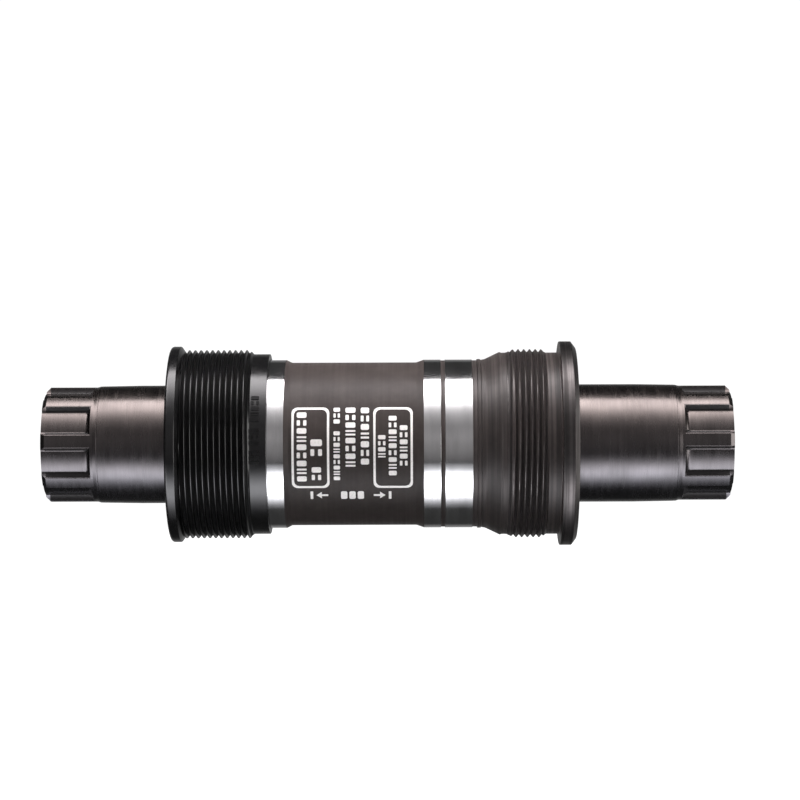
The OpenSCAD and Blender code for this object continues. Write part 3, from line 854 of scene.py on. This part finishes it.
class Marks:
    """Thin raised marks wrapped on a cylinder, drawn in (x, arc length) mm. Up is positive."""

    def __init__(self, radius, height):
        self.radius = radius
        self.height = height
        self.points = []
        self.faces = []

    def arc(self, angle):
        """Arc length for an angle in degrees above the front."""
        return radians(angle) * self.radius

    def ribbon(self, pairs, closed=False):
        """A raised strip between the two sides of each pair of points."""
        first = len(self.points)
        for pair in pairs:
            for r in (self.radius + self.height, self.radius - SUNK):
                for x, arc in pair:
                    a = arc / self.radius
                    self.points.append((x * MM, -r * cos(a) * MM, r * sin(a) * MM))
        count = len(pairs)
        for k in range(count if closed else count - 1):
            a, b = first + 4 * k, first + 4 * ((k + 1) % count)
            for u, v in ((0, 1), (1, 3), (3, 2), (2, 0)):
                self.faces.append((a + u, a + v, b + v, b + u))
        if not closed:
            for k in (first, first + 4 * (count - 1)):
                self.faces.append((k, k + 1, k + 3, k + 2))

    def rounded(self, x_low, x_high, s_low, s_high, corner, step=0.9):
        """The outline of a rounded rectangle, with a fixed number of points on each corner and
        points every step or so along its sides that run round the cylinder.
        """
        points = []
        runs = [((x_low, s_low), (1, 1), 180), ((x_high, s_low), (-1, 1), 270),
                ((x_high, s_high), (-1, -1), 0), ((x_low, s_high), (1, -1), 90)]
        for (x, arc), (dx, ds), start in runs:
            centre_x, centre_s = x + dx * corner, arc + ds * corner
            for k in range(CORNER_POINTS):
                a = radians(start + ROUND_STEP * k)
                points.append((centre_x + corner * cos(a), centre_s + corner * sin(a)))
        dense = []
        for p, q in zip(points, points[1:] + points[:1]):
            across, up = q[0] - p[0], q[1] - p[1]
            steps = max(1, round(abs(up) / step)) if abs(across) < 1e-6 else 1
            dense += [(p[0] + across * k / steps, p[1] + up * k / steps) for k in range(steps)]
        return dense

    def frame(self, x_low, x_high, s_low, s_high, corner, line):
        """A rounded rectangular outline of a given line width."""
        outer = self.rounded(x_low, x_high, s_low, s_high, corner)
        middle = ((x_low + x_high) / 2, (s_low + s_high) / 2)
        half = ((x_high - x_low) / 2, (s_high - s_low) / 2)
        shrink = [1 - line / h for h in half]
        inner = [tuple(m + (v - m) * f for m, v, f in zip(middle, p, shrink)) for p in outer]
        self.ribbon(list(zip(outer, inner)), closed=True)

    def block(self, x_low, x_high, s_low, s_high):
        """A solid block with its corners cut a little."""
        cut = CORNER_CUT * min(x_high - x_low, s_high - s_low)
        stations = [(s_low, cut), (s_low + cut, 0), ((s_low + s_high) / 2, 0),
                    (s_high - cut, 0), (s_high, cut)]
        self.ribbon([((x_low + c, s), (x_high - c, s)) for s, c in stations])

    def column(self, x_low, x_high, from_deg, to_deg, count):
        """Plain blocks down the cylinder, whole or cut in two, standing for characters."""
        start, step = self.arc(from_deg), self.arc(from_deg - to_deg) / count
        half_wide, half_high = HALF_WIDTH * (x_high - x_low), HALF_HEIGHT * step
        for k in range(count):
            high = start - k * step
            low = high - BLOCK_SHARE * step
            if k % 4 == 1:
                self.block(x_low, x_low + half_wide, low, high)
                self.block(x_high - half_wide, x_high, low, high)
            elif k % 4 == 3:
                self.block(x_low, x_high, low, low + half_high)
                self.block(x_low, x_high, high - half_high, high)
            else:
                self.block(x_low, x_high, low, high)

    def arrow(self, tail, tip, centre_deg):
        """An arrow along x."""
        s = self.arc(centre_deg)
        neck = tip + (tail - tip) * ARROW_HEAD
        shaft = ((tail, ARROW_SHAFT), (neck, ARROW_SHAFT))
        head = ((neck, ARROW_WIDTH), (tip, ARROW_POINT))
        for ends in (shaft, head):
            self.ribbon([((x, s - width / 2), (x, s + width / 2)) for x, width in ends])

    def piece(self, name, material, body, slot):
        """The finished object, which stands for no CAD node of its own."""
        marks = [0] * len(self.faces)
        return finished(name, self.points, self.faces, marks, [material], body, [])


def make_print():
    """The label: two frames and two arrows, with plain blocks where a maker puts lettering."""
    ink = Marks(TUBE_R, LABEL_HEIGHT)
    foot, top = ink.arc(FRAME_FOOT_DEG), ink.arc(FRAME_TOP_DEG)
    for x_low, x_high in LABEL_FRAMES:
        ink.frame(x_low, x_high, foot, top, FRAME_CORNER, FRAME_LINE)
    for column in LABEL_COLUMNS:
        ink.column(*column)
    for x_low, x_high in ROW_BLOCKS:
        ink.block(x_low, x_high, ink.arc(ROW_FOOT_DEG), ink.arc(ROW_TOP_DEG))
    for tail, tip in ARROWS:
        ink.arrow(tail, tip, ROW_MIDDLE_DEG)
    ink.piece("label_print", INK, "cartridge", "sleeve_steel")


def make_moulded_marks():
    """Small raised blocks on the adapter's plain band, in three groups."""
    band = Marks(BAND_R, TICK_HEIGHT)
    for from_deg, to_deg, count in TICK_COLUMNS:
        band.column(TICK_FROM, TICK_TO, from_deg, to_deg, count)
    band.piece("adapter_ticks", RESIN_ROOT_SHADE, "left_adapter", "adapter_resin")


make_spindle()
make_adapter()
make_cup()
make_sleeve()
make_print()
make_moulded_marks()

NODE_LOOKS = {
    "outer_race": RACE, "inner_race": RACE, "bearing_balls": BALL, "ball_cage": CAGE,
    "bearing_seal": RUBBER, "inner_spacer": TUBE, "retaining_ring": SPRING,
    "seal_carrier": CASE, "lip_seal": RUBBER, "spindle": SPINDLE,
    "center_sleeve": TUBE_COAT, "drive_side_cup": COAT, "left_adapter_cup": RESIN,
}
for name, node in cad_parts.items():
    look = next(value for key, value in NODE_LOOKS.items() if key in name)
    node.data.materials.clear()
    node.data.materials.append(look)

# --- Stage ------------------------------------------------------------------------------------

CAMERA_DISTANCE = 500
VIEW_WIDTH = 147.9
CAMERA_X = 8.76
VIEW_CENTRE = (4.7, 8.04)
ROLL = 0.19
SENSOR_WIDTH = 36
NEAREST, FARTHEST = 10, 20000

PANEL_X = (-420, 420)
PANEL_STEPS = 48
TOP_STRENGTHS = (0.12, 0.2, 0.26, 0.3, 0.36, 0.34, 0.32, 0.42, 0.6, 1.0, 2.0, 4.2, 7, 9, 10, 10)
LOW_STRENGTHS = (0.08, 0.3, 0.85, 2.0, 4.2, 5.9, 6.2, 4.8, 2.5, 0.75, 0.25)
BACK_STRENGTHS = (0.1, 0.35, 0.35, 0.1)

FLOOR_HALF_SIZE, FLOOR_Z = 6000, -300

REFLECTED_FRONT, REFLECTED_BACK = 0.06, 0.04
DIFFUSE_LIGHT = 0.30
BACKDROP = 1.05


def make_camera():
    data = bpy.data.cameras.new("photo_camera")
    camera = bpy.data.objects.new("photo_camera", data)
    bpy.context.scene.collection.objects.link(camera)
    data.sensor_width = SENSOR_WIDTH
    data.lens = SENSOR_WIDTH * CAMERA_DISTANCE / VIEW_WIDTH
    data.clip_start, data.clip_end = NEAREST * MM, FARTHEST * MM
    data.shift_x = (VIEW_CENTRE[0] - CAMERA_X) / VIEW_WIDTH
    camera.location = (CAMERA_X * MM, -CAMERA_DISTANCE * MM, VIEW_CENTRE[1] * MM)
    camera.rotation_euler = (radians(90), radians(ROLL), 0)
    bpy.context.scene.camera = camera


def stage_piece(name, points, faces, material, hidden_from):
    """A stage object from points in mm, hidden from some kinds of rays."""
    mesh = bpy.data.meshes.new(name)
    mesh.from_pydata([tuple(c * MM for c in p) for p in points], [], faces)
    mesh.materials.append(material)
    piece = bpy.data.objects.new(name, mesh)
    bpy.context.scene.collection.objects.link(piece)
    for rays in hidden_from:
        setattr(piece, "visible_" + rays, False)
    return piece


def fading_light(name, colour):
    """Light whose strength is each point's own fade value."""
    material = bpy.data.materials.new(name)
    material.use_nodes = True
    tree = material.node_tree
    tree.nodes.clear()
    glow = tree.nodes.new("ShaderNodeEmission")
    glow.inputs["Color"].default_value = (*colour, 1)
    value = tree.nodes.new("ShaderNodeAttribute")
    value.attribute_name = "fade"
    output = tree.nodes.new("ShaderNodeOutputMaterial")
    tree.links.new(value.outputs["Fac"], glow.inputs["Strength"])
    tree.links.new(glow.outputs["Emission"], output.inputs["Surface"])
    return material


def glowing(name, base, colour, strength, roughness=0.5):
    """A plain surface that gives off light."""
    material = bpy.data.materials.new(name)
    material.use_nodes = True
    shader = material.node_tree.nodes["Principled BSDF"]
    shader.inputs["Base Color"].default_value = (*base, 1)
    shader.inputs["Roughness"].default_value = roughness
    shader.inputs["Emission Color"].default_value = (*colour, 1)
    shader.inputs["Emission Strength"].default_value = strength
    return material


def soft_panel(name, elevations, radius, colour, strengths, hidden_from=("camera", "shadow")):
    """A curved softbox round the spindle's axis. Its light fades between strengths."""
    points, fade = [], []
    stops = [i / (len(strengths) - 1) for i in range(len(strengths))]
    for k in range(PANEL_STEPS + 1):
        share = k / PANEL_STEPS
        a = radians(elevations[0] + share * (elevations[1] - elevations[0]))
        for x in PANEL_X:
            points.append((x, -radius * cos(a), radius * sin(a)))
            fade.append(np.interp(share, stops, strengths))
    faces = [(2 * k, 2 * k + 1, 2 * k + 3, 2 * k + 2) for k in range(PANEL_STEPS)]
    panel = stage_piece(name, points, faces, fading_light(name, colour), hidden_from)
    panel.data.attributes.new("fade", "FLOAT", "POINT").data.foreach_set("value", fade)


def side_panel(name, x, y_range, z_half, strength):
    """A flat softbox facing along the spindle, off one end."""
    y_low, y_high = y_range
    points = [(x, y_low, -z_half), (x, y_high, -z_half), (x, y_high, z_half), (x, y_low, z_half)]
    material = glowing(name, grey(0), (1, 0.98, 0.97), strength)
    stage_piece(name, points, [(0, 1, 2, 3)], material, ("camera", "shadow", "diffuse"))


def make_floor():
    """A white floor that is seen but adds no light to the part."""
    corners = ((-1, -1), (1, -1), (1, 1), (-1, 1))
    points = [(x * FLOOR_HALF_SIZE, y * FLOOR_HALF_SIZE, FLOOR_Z) for x, y in corners]
    material = glowing("pale_floor", grey(0.9), grey(1), 1.0, roughness=0.9)
    stage_piece("floor", points, [(0, 1, 2, 3)], material, ("glossy", "diffuse"))


def make_world():
    """White behind the part, dim in its reflections, and soft light from all round."""
    world = bpy.data.worlds.new("studio")
    bpy.context.scene.world = world
    world.use_nodes = True
    tree = world.node_tree
    tree.nodes.clear()
    path = tree.nodes.new("ShaderNodeLightPath")
    coords = tree.nodes.new("ShaderNodeTexCoord")
    split = tree.nodes.new("ShaderNodeSeparateXYZ")
    tree.links.new(coords.outputs["Generated"], split.inputs["Vector"])
    shade = tree.nodes.new("ShaderNodeMapRange")
    shade.inputs["From Min"].default_value = -1
    shade.inputs["From Max"].default_value = 1
    shade.inputs["To Min"].default_value = REFLECTED_FRONT
    shade.inputs["To Max"].default_value = REFLECTED_BACK
    tree.links.new(split.outputs["Y"], shade.inputs["Value"])
    light = shade.outputs["Result"]
    for rays, value in (("Is Diffuse Ray", DIFFUSE_LIGHT), ("Is Camera Ray", BACKDROP)):
        choice = tree.nodes.new("ShaderNodeMix")
        tree.links.new(path.outputs[rays], choice.inputs[MIX_FACTOR])
        tree.links.new(light, choice.inputs[NUMBER_A])
        choice.inputs[NUMBER_B].default_value = value
        light = choice.outputs[NUMBER_OUT]
    sky = tree.nodes.new("ShaderNodeBackground")
    sky.inputs["Color"].default_value = (1, 1, 1, 1)
    output = tree.nodes.new("ShaderNodeOutputWorld")
    tree.links.new(light, sky.inputs["Strength"])
    tree.links.new(sky.outputs["Background"], output.inputs["Surface"])


make_camera()
make_world()
make_floor()
soft_panel("top_softbox", (-24, 96), 430, (1.0, 0.965, 0.985), TOP_STRENGTHS)
soft_panel("low_softbox", (-96, -26), 290, (0.98, 0.98, 1.03), LOW_STRENGTHS,
           hidden_from=("camera", "shadow", "diffuse"))
soft_panel("back_softbox", (150, 215), 500, grey(1), BACK_STRENGTHS)
side_panel("right_softbox", 450, (-650, 280), 150, 3.5)
bpy.context.scene.view_settings.view_transform = "Standard"
